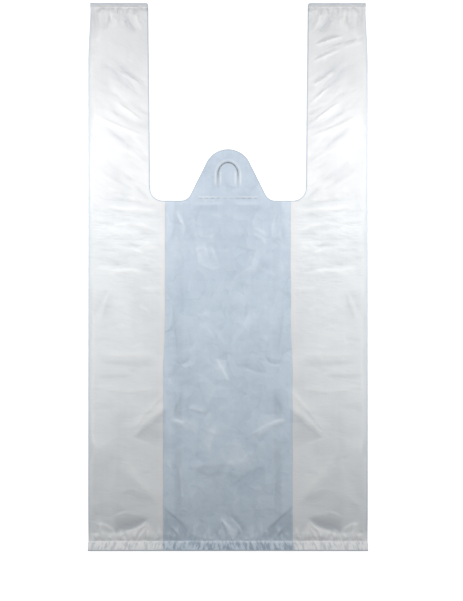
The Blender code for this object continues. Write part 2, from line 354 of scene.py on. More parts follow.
# %% The creases on both sides of the middle
# Each row holds the points, the height, the width, and the reach of a facet on the left
BOTH_SIDES = (
    # Handles, from the top down
    (((104, 266), (98, 254), (91, 244)), -1.5, 2, 7),
    (((121, 264), (124, 246)), -1.3, 2, 5),
    (((95, 263), (86, 246)), 1.5, 4),
    (((131, 234), (128, 250)), 0.9, 4),
    (((97, 226), (97, 212)), 0.7, 4),
    (((107, 206), (84, 190)), 1.4, 2, 6),
    (((112, 212), (88, 197)), -0.7, 4),
    (((114, 177), (82, 153)), 1.8, 2, 7),
    (((136, 163), (110, 151), (80, 139)), 2.1, 2, 7),
    (((120, 168), (80, 147)), -0.9, 3, 6),
    (((120, 149), (100, 134)), 0.8, 6),
    (((132, 139), (104, 127), (80, 112)), 0.9, 2, 5),
    (((104, 134), (81, 124)), -0.6, 2, 5),
    (((106, 126), (83, 113)), -0.7, 2, 5),
    (((101, 117), (81, 101)), -0.6, 2, 5),
    (((98, 104), (81, 90)), -0.6, 2, 5),
    (((114, 99), (94, 86)), -0.5, 2, 5),
    (((96, 93), (76, 76)), -1.1, 2, 6),
    (((118, 78), (79, 74)), -0.9, 2, 7),
    # Sides below the mouth
    (((126, 71), (66, 66)), 0.9, 2, 7),
    (((124, 67), (65, 61)), -0.8, 2, 6),
    (((98, 56), (66, 44)), 0.8, 2, 5),
    (((95, 26), (83, 24)), 0.7, 3),
    (((95, 22), (73, 16), (63, 18)), 0.8, 2, 6),
    (((84, 10), (63, 10)), 0.8, 3),
    (((125, 3), (97, 7), (80, 2)), 1.2, 2.6, 9),
    (((91, -12), (63, -11)), 0.8, 2, 6),
    (((91, -29), (78, -35)), 0.8, 3),
    (((128, -48), (117, -14)), -0.8, 2.6, 14),
    (((130, -78), (70, -79)), 0.9, 8, 6),
    (((66, -90), (132, -86)), -0.9, 5, 8),
    (((137, -101), (92, -99)), -0.7, 2.6, 8),
    (((64, -110), (100, -116), (134, -111)), 0.7, 2.6, 8),
    # Lower sides
    (((60, -112), (80, -134), (97, -157)), 0.9, 2.6, 12),
    (((96, -161), (80, -146), (66, -134)), -0.8, 2, 12),
    (((119, -174), (96, -199), (71, -229)), 0.8, 10),
    (((120, -243), (102, -235), (81, -240)), 0.8, 2, 9),
    (((80, -242), (88, -249), (98, -253), (112, -251)), -2.2, 1.8, 9),
    (((134, -246), (122, -249), (112, -256)), 1.3, 2, 6),
    (((138, -256), (127, -257)), -1.5, 1.8, 3),
    # Fans that run into the bottom weld
    (((81, -245), (90, -255), (96, -270)), 1.7, 1.6, 5),
    (((79, -250), (85, -257), (89, -270)), 1.4, 1.6, 3.5),
    (((96, -255), (100, -270)), 1.3, 1.6, 3.5),
    (((104, -254), (108, -270)), 1.1, 1.6, 3.5),
    (((113, -255), (121, -270)), 1.3, 1.6, 4),
    (((73, -253), (78, -270)), 1.0, 1.6, 3.5),
    (((66, -261), (84, -262)), 1.2, 1.8),
    # Middle, between the gussets
    (((0, 73), (38, 72)), 0.8, 2.6, 6),
    (((0, 66), (40, 67)), -0.9, 8),
    (((53, 76), (54, 52), (55, 28)), -1.1, 5),
    (((49, 66), (44, 51), (45, 36)), 1.3, 1.8, 5),
    (((50, -82), (56, -26)), -1.2, 2.6, 8),
    (((35, -76), (41, -86), (48, -88), (56, -83)), -1.5, 1.8, 6),
    (((56, -142), (45, -115)), -1.1, 2.6, 8),
    (((57, -142), (43, -147)), 1.2, 1.8, 6),
    (((50, -183), (46, -232)), -0.9, 2.6, 7),
    (((64, -233), (50, -244), (33, -258)), -0.8, 3, 10),
    (((42, -266), (60, -246)), 1.0, 1.8, 3),
    (((50, -268), (62, -254)), 0.8, 1.8, 3),
)
print("creases on both sides:", len(BOTH_SIDES))

# %% The creases on one side only
ONE_SIDE = (
    (((-31, 36), (-28, 12), (-15, 7), (-1, 12)), 0.9, 2, 8),
    (((-10, 14), (-17, 31)), 0.9, 2, 5),
    (((-19, 16), (-24, 33)), 0.9, 2, 5),
    (((30, 30), (24, 9), (10, 3)), 0.9, 2, 8),
    (((2, -107), (-14, -79)), 1.3, 2, 10),
    (((-14, -61), (-25, -44)), 0.9, 2, 7),
    (((24, -30), (15, -52)), 0.8, 2, 8),
    (((-42, -131), (-19, -137)), 1.3, 2, 8),
    (((56, -141), (38, -149), (18, -161)), 0.8, 2, 9),
    (((32, -137), (54, -138)), -0.7, 1.8, 6),
    (((-30, -150), (-6, -160)), 0.8, 2.6, 15),
    (((24, -172), (8, -192)), 0.8, 2, 15),
    (((-4, -194), (-20, -200), (-35, -192)), -0.5, 2, 10),
    (((40, -195), (28, -191), (4, -208)), -0.6, 2, 8),
    (((-8, -239), (-3, -250), (3, -264)), 1.6, 1.8, 7),
    (((1, -238), (14, -252), (15, -264)), -1.7, 2, 7),
    (((-20, -248), (-19, -268)), 1.2, 1.6, 3),
    (((-14, -252), (-12, -268)), -1.0, 1.6, 3),
    (((24, -246), (22, -268)), 1.1, 1.6, 4),
    (((13, -89), (27, -95), (38, -97)), -1.2, 1.8, 6),
    (((-52, 66), (-49, 58), (-44, 50)), 1.6, 2, 3),
    (((22, 44), (34, 38), (38, 30)), 1.1, 1.8, 5),
    (((28, 47), (40, 40)), 1.0, 1.8, 4),
    (((30, 25), (8, 30)), -0.8, 2, 7),
    # Streaks on the right handle
    (((86, 231), (117, 241)), 3.4, 2.4, 3.4),
    (((98, 230), (138, 240)), -1.2, 1.8, 4),
    (((113, 229), (138, 236)), 1.2, 3),
    (((83, 214), (114, 228)), 2.6, 2.2, 3.6),
    (((84, 191), (96, 198)), 2.2, 2.2, 3.4),
    (((98, 202), (107, 206)), 1.4, 2.6),
    (((80, 169), (102, 191)), 2.6, 2.2, 4),
    (((83, 167), (99, 175)), 1.5, 1.8, 3.4),
    (((80, 149), (106, 167)), 1.7, 1.8, 5),
    (((83, 140), (132, 159)), 1.6, 2, 6),
)
print("creases on one side:", len(ONE_SIDE))

# %% Flat patches between straight folds
def patch(x, y, corners, height, soft=0.8):
    """A triangle that stands off along its first side and meets its surroundings at its third corner."""
    a, b, c = np.array(corners) * MM
    inside = np.full(np.shape(x), np.inf)
    fade = 0.0
    for start, end, far in ((b, c, a), (c, a, b), (a, b, c)):
        normal = np.array((start[1] - end[1], end[0] - start[0])) / math.dist(start, end)
        altitude = normal @ (far - start)
        distance = ((x - start[0]) * normal[0] + (y - start[1]) * normal[1]) * np.sign(altitude)
        inside = np.minimum(inside, distance)
        fade = np.clip(1 - distance / abs(altitude), 0.0, 1.0)
    return height * MM * ease(inside, -soft * MM, soft * MM) * fade


# Each row holds the corners, the height, and how soft the borders are
PATCHES_ON_BOTH = (
    (((138, -48), (120, -14), (140, -12)), -0.45),
    (((60, -129), (94, -159), (62, -104)), 0.8, 1.6),
    (((62, -133), (94, -161), (62, -174)), -1.0, 1.4),
    (((110, -178), (71, -228), (64, -180)), 0.3, 3),
    (((110, -178), (71, -228), (120, -238)), -0.5, 3),
    (((80, -243), (113, -258), (116, -226)), -1.2, 3),
    (((80, -247), (114, -260), (92, -310)), 1.5, 1.2),
    (((80, -247), (70, -266), (92, -310)), 1.0, 1.5),
    (((106, -259), (138, -254), (122, -300)), 1.3, 2),
    (((64, -230), (26, -268), (64, -310)), -1.5, 1.2),
    (((57, -144), (31, -158), (28, -137)), 0.9, 1.8),
    (((53, -189), (53, -239), (38, -212)), -0.6, 2),
    (((33, -36), (3, -68), (9, -38)), 0.4),
    (((48, 62), (62, 30), (30, 36)), -0.3),
)
PATCHES_ON_ONE = (
    (((-7, -243), (7, -267), (17, -262)), 1.8),
    (((-12, -150), (-18, -175), (-32, -158)), 0.9, 2.4),
    (((-2, -188), (22, -186), (10, -158)), 1.0, 2.2),
    (((-37, -192), (-2, -188), (-10, -208)), -0.9, 2),
    (((4, -208), (36, -188), (42, -240)), -0.8, 1.6),
    (((-12, -82), (-2, -84), (2, -110)), 0.9),
    (((-2, -112), (-30, -96), (-26, -118)), 0.4),
    (((8, -84), (38, -98), (34, -78)), -0.4),
    (((-34, 46), (-30, 14), (-8, 22)), 0.35),
)
print("flat patches:", len(PATCHES_ON_BOTH) + len(PATCHES_ON_ONE))

# %% Small creases that only follow a direction
def scattered(seed, count, across, along, lean, longest, tallest):
    """Small creases at random places of a region, each leaning by an angle between two, in degrees."""
    chance = np.random.default_rng(seed)
    made = []
    for i in range(count):
        x, y = chance.uniform(*across), chance.uniform(*along)
        angle = math.radians(chance.uniform(*lean))
        length = longest * chance.uniform(0.35, 1.0)
        bow = length * chance.uniform(-0.10, 0.10)
        end = (x + length * math.cos(angle), y + length * math.sin(angle))
        middle = ((x + end[0]) / 2 - bow * math.sin(angle), (y + end[1]) / 2 + bow * math.cos(angle))
        height = tallest * chance.uniform(0.4, 1.0) * chance.choice((1.0, -1.0))
        width = chance.uniform(2.4, 3.6)
        line = ((x, y), middle, end)
        made.append((line[::chance.choice((1, -1))], height, width, width * chance.uniform(1.0, 3.0)))
    return tuple(made)


SMALL_ON_BOTH = (
    scattered(31, 60, (70, 108), (76, 200), (22, 44), 50, 0.7)
    + scattered(32, 60, (60, 112), (0, 74), (-7, 14), 42, 0.7)
    + scattered(33, 40, (60, 112), (-225, 0), (-16, 14), 38, 0.45)
)
SMALL_ON_ONE = scattered(34, 80, (-56, 44), (-250, 66), (-80, 80), 20, 0.6)
print("small creases:", len(SMALL_ON_BOTH) + len(SMALL_ON_ONE))

# %% [markdown]
# ## Slack, facets and gathers
# Between its creases the film breaks into flat, slightly tilted facets. Those are points at random heights
# joined into triangles, which gives the straight-edged patches that noise can't. At the welds the layers
# are caught while they are uneven, so small pleats run away from each weld and fade.

# %% Facets of crumpled film
def facets(x, y, seed, spacing, height):
    """A surface of flat triangles between scattered points at random heights."""
    chance = np.random.default_rng(seed)
    columns = math.ceil(2 * HALF_WIDTH / spacing) + 5
    rows = math.ceil(2 * HALF_LENGTH / spacing) + 5
    corners = []
    for row in range(rows):
        for column in range(columns):
            px = -HALF_WIDTH + (column - 2 + chance.uniform(-0.42, 0.42)) * spacing
            py = -HALF_LENGTH + (row - 2 + chance.uniform(-0.42, 0.42)) * spacing
            corners.append((px, py, chance.uniform(-height, height)))
    made = geometry.delaunay_2d_cdt([Vector(corner[:2]) for corner in corners], [], [], 0, 1e-6)
    surface = bvhtree.BVHTree.FromPolygons(corners, made[2])
    down = Vector((0, 0, -1))
    return np.array([surface.ray_cast(Vector((px, py, 1)), down)[0].z for px, py in zip(x.flat, y.flat)])


# %% Gathers at the welds
def gathers(x, y, seed, weld_y, inward, count, longest, tallest):
    """Pleats of many sizes that run away from a weld, on both sides of the middle."""
    chance = np.random.default_rng(seed)
    surface = np.zeros(np.shape(x))
    for i in range(count):
        start = (i + chance.uniform(0.1, 0.9)) / count * HALF_WIDTH / MM
        length = longest * chance.uniform(0.3, 1.0) ** 1.5
        lean = length * chance.uniform(-0.35, 0.35)
        height = tallest * chance.uniform(0.4, 1.0) * chance.choice((1.0, 1.0, -0.7))
        weld = weld_y / MM
        points = ((start - lean / 2, weld - inward * length / 2), (start + lean, weld + inward * length))
        surface += crease(np.abs(x), y, points, height, chance.uniform(2.0, 3.4), taper=0.35)
    return surface


# %% The wrinkled front and back
RELIEF_OF_CREASES = 0.62
RELIEF_OF_PATCHES = 0.3


def sharp_creases(x, y):
    both = [crease(np.abs(x), y, *shape) for shape in BOTH_SIDES + SMALL_ON_BOTH]
    return sum(both + [crease(x, y, *shape) for shape in ONE_SIDE + SMALL_ON_ONE])


def patches(x, y):
    both = [patch(np.abs(x), y, *shape) for shape in PATCHES_ON_BOTH]
    return sum(both + [patch(x, y, *shape) for shape in PATCHES_ON_ONE])


def pleats(x, y):
    return gathers(x, y, 5, BOTTOM_WELD_Y, 1, 38, 24, 1.5) + gathers(x, y, 11, TOP_WELD_Y, -1, 34, 34, 2.0)


def soft_facets(x, y):
    """Broad facets match on both sides of the middle, beyond the gusset creases. Small ones don't."""
    beyond = ease(np.abs(x), CREASE_X - 12 * MM, CREASE_X + 2 * MM)
    broad = beyond * facets(np.abs(x), y, 3, 31 * MM, 0.75 * MM)
    broad += (1 - beyond) * facets(x, y, 4, 29 * MM, 0.75 * MM)
    return broad + facets(x, y, 8, 14 * MM, 0.34 * MM) + facets(x, y, 9, 7 * MM, 0.13 * MM)


def looseness_of_front(x, y, rise=7 * MM):
    """Near the welds the front may still puff up, but the folds hold it down along the outer edges."""
    held = ease(half_width_at(y) - np.abs(x), 0.0, 7 * MM)
    return ease(from_weld(y), 0.0, rise) * held


def front_wrinkles(x, y):
    """How far the front film stands off the layer under it, beyond its spacing there."""
    slack = SLACK * (1 + 0.4 * np.sin(x / (21 * MM) + 1.7 * np.sin(y / (47 * MM))) * np.sin(y / (33 * MM)))
    creased = RELIEF_OF_CREASES * sharp_creases(x, y) + RELIEF_OF_PATCHES * patches(x, y)
    loose = (slack + creased + soft_facets(x, y)) * looseness_of_front(x, y)
    return loose + pleats(x, y) * looseness_of_front(x, y, 2.5 * MM)


def back_wrinkles(x, y):
    """The back panel is pressed flat by the rest, and only lifts a little off what it lies on."""
    surface = 0.3 * MM + facets(np.abs(x), y, 21, 37 * MM, 0.3 * MM)
    return surface * looseness(y)


# %% [markdown]
# ## Folding the film
# The film is made as one flat grid. Each of its columns belongs to the front, to a layer of a gusset, to
# the back, or to a fold between two of them, where it bulges by half of the gap that it turns round. The
# front shows every crease, so its squares are divided once more where it bends most.

# %% The columns of the grid
FRONT_COLUMN_WIDTH = 2.8 * MM
BACK_COLUMN_WIDTH = 13 * MM
GUSSET_COLUMN_WIDTH = 16 * MM
ROW_LENGTH = 2.8 * MM
BENT_SHARE = 0.2


def even_steps(low, high, step):
    return np.linspace(low, high, max(2, round((high - low) / step) + 1))


def film_columns():
    """The x, the turn, and the lower and the upper layer of each column, once round the tube."""
    edge = HALF_WIDTH - FILM_WALL - LAYER_PITCH / 2
    inner = CREASE_X + LAYER_PITCH / 2
    across = even_steps(inner, edge, GUSSET_COLUMN_WIDTH)
    front = [(x, 0, 3, 3) for x in even_steps(-edge, edge, FRONT_COLUMN_WIDTH)]
    back = [(x, 0, 0, 0) for x in even_steps(edge, -edge, -BACK_COLUMN_WIDTH)]
    right = [(edge, 1, 2, 3)] + [(x, 0, 2, 2) for x in across[::-1]] + [(inner, -1, 1, 2)]
    right += [(x, 0, 1, 1) for x in across] + [(edge, 1, 0, 1)]
    left = [(-x, -turn, low, high) for x, turn, low, high in reversed(right)]
    loop = front + right + back + left
    return np.array(loop + loop[:1]), len(front)


def layer_heights(x, y):
    """The middle of each of the four layers at each place, from the back panel up."""
    pressed = 1 - looseness(y)
    back = FILM_WALL / 2 + SKIRT_COVER * pressed + back_wrinkles(x, y)
    pitch = LAYER_PITCH + (WELDED_PITCH - LAYER_PITCH) * pressed
    centre = CENTRE_PITCH + (2 * WELDED_PITCH - CENTRE_PITCH) * pressed
    over_gusset = ease(np.abs(x), CREASE_X - SAG_WIDTH, CREASE_X)
    base = centre + (3 * pitch - centre) * over_gusset
    under = np.where(np.abs(x) > CREASE_X - FILM_WALL, 2 * pitch, 0.0)
    stand = np.maximum(base + front_wrinkles(x, y), under + np.minimum(LEAST_GAP, pitch) + 0 * x)
    return np.stack([back, back + pitch, back + 2 * pitch, back + stand])


def add_object(name, mesh):
    """Turns a finished bmesh into an object at the origin."""
    data = bpy.data.meshes.new(name)
    mesh.to_mesh(data)
    mesh.free()
    made = bpy.data.objects.new(name, data)
    bpy.context.scene.collection.objects.link(made)
    return made


def points_of(mesh):
    flat = np.empty(len(mesh.vertices) * 3)
    mesh.vertices.foreach_get("co", flat)
    return flat.reshape(-1, 3)


# %% Where the grid lands
class Pattern:
    """Turns places of the flat grid, from -1 to 1 both ways, into places of the folded tube."""

    def __init__(self):
        self.columns, self.front_count = film_columns()
        last_y = TOP_WELD_Y + TUBE_IN_SKIRT
        self.rows = even_steps(BOTTOM_WELD_Y - TUBE_IN_SKIRT, last_y, ROW_LENGTH)

    def column(self, u):
        return (u + 1) / 2 * (len(self.columns) - 1)

    def place(self, u, v):
        """The x, before the handles draw in, and the y."""
        x = np.interp(self.column(u), np.arange(len(self.columns)), self.columns[:, 0])
        y = np.interp((v + 1) / 2 * (len(self.rows) - 1), np.arange(len(self.rows)), self.rows)
        return x, y

    def fold(self, u, v):
        x, y = self.place(u, v)
        turn, lower, upper = self.columns[np.rint(self.column(u)).astype(int), 1:].T
        heights = layer_heights(x, y)
        each = np.arange(len(x))
        low = heights[lower.astype(int), each]
        high = heights[upper.astype(int), each]
        drawn_in = x * half_width_at(y) / HALF_WIDTH
        return np.stack([drawn_in + turn * (high - low) / 2, y, (low + high) / 2], axis=1)


pattern = Pattern()
print("columns and rows of film:", len(pattern.columns), len(pattern.rows))

# %% [markdown]
# ## The die's outlines
# The die is a prism with the outline of the mouth, and so are the narrow slit that the tab hangs by and
# the row of cuts that it tears off along. Their outlines come before the film is made, because the film
# also needs small squares where it is cut.

# %% Outline of the mouth
MOUTH_HALF_WIDTH = 78 * MM
MOUTH_CORNER_RADIUS = 13 * MM
HANDLE_WIDTH_AT_TOP = 58 * MM
HANDLE_CORNER_RADIUS = 2 * MM
TAB_HEIGHT = 51.5 * MM
TAB_NOSE_RADIUS = 24 * MM
TAB_HALF_WIDTH_AT_ROOT = 40.5 * MM
TAB_ROOT_RADIUS = 11 * MM
TAB_NOSE_Y = MOUTH_Y + TAB_HEIGHT
ARC_STEPS = 17
DIE_REACH = 20 * MM


def arc(centre, radius, start, end, steps=ARC_STEPS):
    """Points on an arc from start to end, both in degrees and both included."""
    angles = np.radians(np.linspace(start, end, steps + 1))
    return [(centre[0] + radius * math.cos(one), centre[1] + radius * math.sin(one)) for one in angles]


def mirrored(points):
    return [(-x, y) for x, y in reversed(points)]


def mouth_outline():
    """A round-cornered U between the handles, with the tab standing in it."""
    rise = TAB_HEIGHT - TAB_NOSE_RADIUS
    reach = math.hypot(TAB_HALF_WIDTH_AT_ROOT, rise)
    lean = math.degrees(math.atan2(TAB_HALF_WIDTH_AT_ROOT, rise) - math.asin(TAB_NOSE_RADIUS / reach))
    nose = arc((0, TAB_NOSE_Y - TAB_NOSE_RADIUS), TAB_NOSE_RADIUS, 180 - lean, lean, 2 * ARC_STEPS + 1)
    root_x = TAB_HALF_WIDTH_AT_ROOT + TAB_ROOT_RADIUS * math.tan(math.radians(90 - lean) / 2)
    root = arc((root_x, MOUTH_Y + TAB_ROOT_RADIUS), TAB_ROOT_RADIUS, 180 + lean, 270)
    corner_x = MOUTH_HALF_WIDTH - MOUTH_CORNER_RADIUS
    corner = arc((corner_x, MOUTH_Y + MOUTH_CORNER_RADIUS), MOUTH_CORNER_RADIUS, 270, 360)
    top_x = HALF_WIDTH - HANDLE_DRAW_IN - HANDLE_WIDTH_AT_TOP + HANDLE_CORNER_RADIUS
    rounding = arc((top_x, HALF_LENGTH - HANDLE_CORNER_RADIUS), HANDLE_CORNER_RADIUS, 180, 90, 5)
    side = root + corner + rounding + [(top_x, HALF_LENGTH + DIE_REACH)]
    return nose + side + mirrored(side)


print("mouth outline points:", len(mouth_outline()))

# %% The slit and the tear line
SLIT_ARCH_RADIUS = 10 * MM
SLIT_ARCH_RISE = 12 * MM
SLIT_LEG_LENGTH = 13.2 * MM
SLIT_BELOW_NOSE = 13.3 * MM
SLIT_WIDTH = 0.16 * MM
TEAR_CUT_LENGTH = 4 * MM
TEAR_BRIDGE_LENGTH = 2.2 * MM
TEAR_CUT_WIDTH = 0.12 * MM
TEAR_CUT_COUNT = 10
TEAR_LINE_Y = MOUTH_Y + 2.3 * MM
TEAR_HALF_LENGTH = TEAR_CUT_COUNT * (TEAR_CUT_LENGTH + TEAR_BRIDGE_LENGTH) / 2
SLIT_SPRING_Y = TAB_NOSE_Y - SLIT_BELOW_NOSE - SLIT_ARCH_RISE


def slit_line(outwards=0.0):
    """The arch and its two straight legs, or a line beside them."""
    foot_y = SLIT_SPRING_Y - SLIT_LEG_LENGTH
    half, rise = SLIT_ARCH_RADIUS + outwards, SLIT_ARCH_RISE + outwards
    arch = [(half * x, SLIT_SPRING_Y + rise * y) for x, y in arc((0, 0), 1.0, 0, 180, 2 * ARC_STEPS + 1)]
    return [(half, foot_y)] + arch + [(-half, foot_y)]


def tear_cuts():
    """The left and right ends of each cut."""
    pitch = TEAR_CUT_LENGTH + TEAR_BRIDGE_LENGTH
    for i in range(TEAR_CUT_COUNT):
        x = (i - (TEAR_CUT_COUNT - 1) / 2) * pitch
        yield x - TEAR_CUT_LENGTH / 2, x + TEAR_CUT_LENGTH / 2


def die_outlines():
    outlines = [mouth_outline(), slit_line(SLIT_WIDTH / 2) + slit_line(-SLIT_WIDTH / 2)[::-1]]
    low, high = TEAR_LINE_Y - TEAR_CUT_WIDTH / 2, TEAR_LINE_Y + TEAR_CUT_WIDTH / 2
    for left, right in tear_cuts():
        outlines.append([(left, low), (right, low), (right, high), (left, high)])
    return outlines


def from_cuts(x, y):
    """The distance to the nearest cut of the tear line."""
    beside = [np.maximum(np.maximum(left - x, x - right), 0.0) for left, right in tear_cuts()]
    return np.hypot(np.minimum.reduce(beside), y - TEAR_LINE_Y)


print("outlines of the die:", len(die_outlines()))

# %% [markdown]
# ## Making the tube
# The grid is divided while it is still flat. A square is bent if its middle would lie off the mean of its
# corners, and the most bent ones, with those beside a cut, become four. It is made of triangles before it
# gets a wall, because both faces of the wall then bend along the same lines and can't cross.

# %% Dividing and folding the grid
CUT_MARGIN = 3 * MM
MERGE_DISTANCE = FILM_WALL / 20


def on_front(face):
    """Squares beside the seam are left out, because they have to match those on its other side."""
    columns = [pattern.column(vert.co.x) for vert in face.verts]
    return min(columns) > 0.1 and max(columns) < pattern.front_count - 0.9


def divide_where_bent(mesh):
    front = [face for face in mesh.faces if on_front(face)]
    corners = np.array([[vert.co[:2] for vert in face.verts] for face in front])
    middles = corners.mean(axis=1)
    x, y = pattern.place(*middles.T)
    corner_x, corner_y = pattern.place(*corners.reshape(-1, 2).T)
    at_corners = front_wrinkles(corner_x, corner_y).reshape(-1, 4).mean(axis=1)
    bend = np.abs(front_wrinkles(x, y) - at_corners)
    near_cut = np.minimum(distance_to_line(x, y, slit_line())[0], from_cuts(x, y)) < CUT_MARGIN
    chosen = (bend > np.quantile(bend, 1 - BENT_SHARE)) | near_cut
    edges = {edge for face, picked in zip(front, chosen) if picked for edge in face.edges}
    bmesh.ops.subdivide_edges(mesh, edges=list(edges), cuts=1, use_grid_fill=True)


def fold_film():
    mesh = bmesh.new()
    columns, rows = len(pattern.columns) - 1, len(pattern.rows) - 1
    bmesh.ops.create_grid(mesh, x_segments=columns, y_segments=rows, size=1.0)
    divide_where_bent(mesh)
    film = add_object("film", mesh)
    folded = pattern.fold(*points_of(film.data)[:, :2].T)
    film.data.vertices.foreach_set("co", folded.ravel())
    joined = bmesh.new()
    joined.from_mesh(film.data)
    bmesh.ops.remove_doubles(joined, verts=joined.verts, dist=MERGE_DISTANCE)
    bmesh.ops.triangulate(joined, faces=joined.faces[:])
    bmesh.ops.recalc_face_normals(joined, faces=joined.faces)
    joined.to_mesh(film.data)
    joined.free()
    return film


film = fold_film()
print("film points:", len(film.data.vertices))

# %% [markdown]
# ## Welds and dies
# A weld melts all the layers into one thin bead and leaves a loose skirt beyond it. Both are thin strips
# that a Boolean joins to the tube. Another Boolean then takes out what the die takes out.

# %% The die
def extrude_up(mesh, faces, height):
    """Raises a copy of the faces, with walls down to them, and returns the copy's points."""
    made = bmesh.ops.extrude_face_region(mesh, geom=faces)["geom"]
    top = [part for part in made if isinstance(part, bmesh.types.BMVert)]
    bmesh.ops.translate(mesh, verts=top, vec=(0, 0, height))
    return top


def die():
    """Every outline as a prism through all the layers."""
    mesh = bmesh.new()
    for outline in die_outlines():
        face = mesh.faces.new([mesh.verts.new((x, y, -DIE_REACH)) for x, y in outline])
        extrude_up(mesh, [face], 2 * DIE_REACH)
    bmesh.ops.recalc_face_normals(mesh, faces=mesh.faces)
    return add_object("die", mesh)


# %% The skirts beyond the welds
SKIRT_COLUMN_WIDTH = 0.9 * MM
SKIRT_ROW_LENGTH = 1.1 * MM
WELD_WIDTH = 1.6 * MM
WELD_RISE = 0.3 * MM


def skirt(weld_y, end_y):
    """A strip of pressed layers, in columns so that it can ripple, with the weld's bead along it."""
    half = float(half_width_at(np.array(end_y)))
    low, high = sorted((weld_y, end_y))
    mesh = bmesh.new()
    columns, rows = round(2 * half / SKIRT_COLUMN_WIDTH), round((high - low) / SKIRT_ROW_LENGTH)
    bmesh.ops.create_grid(mesh, x_segments=columns, y_segments=rows, size=1.0)
    bmesh.ops.scale(mesh, verts=mesh.verts, vec=(half, (high - low) / 2, 1.0))
    bmesh.ops.translate(mesh, verts=mesh.verts, vec=(0, (low + high) / 2, 0))
    for vert in extrude_up(mesh, mesh.faces[:], SKIRT_THICKNESS):
        from_bead = abs(vert.co.y - weld_y) / WELD_WIDTH
        vert.co.z += WELD_RISE * max(0.0, 1 - from_bead ** 2)
    bmesh.ops.recalc_face_normals(mesh, faces=mesh.faces)
    return add_object("skirt", mesh)


# %% Making the bag one piece
def apply_modifiers(target):
    graph = bpy.context.evaluated_depsgraph_get()
    result = bpy.data.meshes.new_from_object(target.evaluated_get(graph))
    target.modifiers.clear()
    target.data = result


def combine(target, operation, other):
    """Applies one Boolean and removes the other solid."""
    modifier = target.modifiers.new(operation.lower(), "BOOLEAN")
    modifier.operation = operation
    modifier.solver = "EXACT"
    modifier.object = other
    apply_modifiers(target)
    bpy.data.objects.remove(other)


def make_bag(film):
    """Gives the tube its wall, joins a skirt to each end, and stamps out the mouth."""
    wall = film.modifiers.new("wall", "SOLIDIFY")
    wall.thickness = FILM_WALL
    wall.offset = 0.0
    wall.use_even_offset = True
    apply_modifiers(film)
    combine(film, "UNION", skirt(BOTTOM_WELD_Y, -HALF_LENGTH))
    combine(film, "UNION", skirt(TOP_WELD_Y, HALF_LENGTH))
    combine(film, "DIFFERENCE", die())
    film.name = "carrier_bag_film"
    return film


def open_edges(mesh):
    """How many edges don't join two faces, which is none in a closed solid."""
    solid = bmesh.new()
    solid.from_mesh(mesh)
    count = sum(not edge.is_manifold for edge in solid.edges)
    solid.free()
    return count


bag = make_bag(film)
bag.data.calc_loop_triangles()
print("bag triangles and open edges:", len(bag.data.loop_triangles), open_edges(bag.data))

# %% [markdown]
# ## How the finished bag lies
# The bag doesn't lie dead flat: it rises and falls a little as a whole, its skirts ripple, and the bottom
# one curls up. That moves every layer together, so it comes after the cutting and can't push one layer
# through another.

# %% Rise, ripple and ribs
LONG_WAVE_HEIGHT = 0.35 * MM
RIPPLE_HEIGHT = 0.3 * MM
RIB_HEIGHT = 0.05 * MM
RIB_LEAN = 0.25
SKIRT_CURL = 0.55


def past_weld(y, margin):
    """1 in the skirts and 0 on the film, with a step as long as twice the margin."""
    outside = np.maximum(BOTTOM_WELD_Y - y, y - TOP_WELD_Y)
    return ease(outside, -margin, margin)


def rib_heights(x, y):
    """Fine ribs that lean, and crowd together in places."""
    leaning = np.abs(x) + RIB_LEAN * y
    wander = 1.5 * np.sin(leaning / (6.3 * MM)) + np.sin(leaning / (2.9 * MM))
    fine = np.sin(leaning / (0.5 * MM) + wander)
    return RIB_HEIGHT * (fine + 0.7 * np.sin(leaning / (0.8 * MM) - wander))


def lie(x, y):
    """How far each place is lifted, with all its layers."""
    long_waves = LONG_WAVE_HEIGHT * (1 + np.sin(x / (52 * MM) + 0.8) * np.cos(y / (71 * MM)))
    ripple = RIPPLE_HEIGHT * (1 + np.sin(x / (4.1 * MM) + 2.2 * np.sin(x / (17 * MM))))
    curl = SKIRT_CURL * np.maximum(BOTTOM_WELD_Y - y, 0.0)
    return long_waves + ripple * past_weld(y, 9 * MM) + rib_heights(x, y) * past_weld(y, 0.8 * MM) + curl


def settle(bag):
    points = points_of(bag.data)
    points[:, 2] += lie(points[:, 0], points[:, 1])
    points[:, 2] -= points[:, 2].min()
    bag.data.vertices.foreach_set("co", points.ravel())
    return points


points = settle(bag)
print("bag stands, mm:", round(points[:, 2].max() / MM, 2))

# %% [markdown]
# ## Marks for the finish
# The finish has to know how far each place is from a cut or folded edge, and how far the film there stands
# off the layer below, which it paints as light and shade. These are kept on the points, because they blend
# evenly between them, so a line of any width can be drawn from them.

# %% Distances to the edges
def keep_on_points(mesh, name, values):
    marks = mesh.attributes.new(name, "FLOAT", "POINT")
    marks.data.foreach_set("value", values.astype(np.float32))


def mark_edges(bag, points):
    x, y = points[:, 0], points[:, 1]
    sides = half_width_at(y) - np.abs(x)
    ends = HALF_LENGTH - np.abs(y)
    outline = mouth_outline()
    cut = distance_to_line(x, y, outline + outline[:1])[0]
    keep_on_points(bag.data, "from_fold", sides / MM)
    keep_on_points(bag.data, "from_cut", np.minimum(ends, cut) / MM)
    keep_on_points(bag.data, "from_slit", distance_to_line(x, y, slit_line())[0] / MM)


mark_edges(bag, points)

# %% Crease relief for the painted light and shade
# How strongly the flat patches count in the painted light and shade
PATCH_LIGHTNESS = 1.4


def mark_creases(bag, points):
    """Kept for the finish, which paints light on crests and shade in hollows; film that stands off the
    layer below also scatters more light in itself, and film that touches it less.
    """
    x, y = points[:, 0], points[:, 1]
    loose = looseness_of_front(x, y)
    creased = (sharp_creases(x, y) + PATCH_LIGHTNESS * patches(x, y)) * loose + pleats(x, y)
    keep_on_points(bag.data, "crease", np.clip(creased / MM, -2.0, 2.0))
    keep_on_points(bag.data, "facet", np.clip(soft_facets(x, y) * loose / MM, -1.2, 1.2))


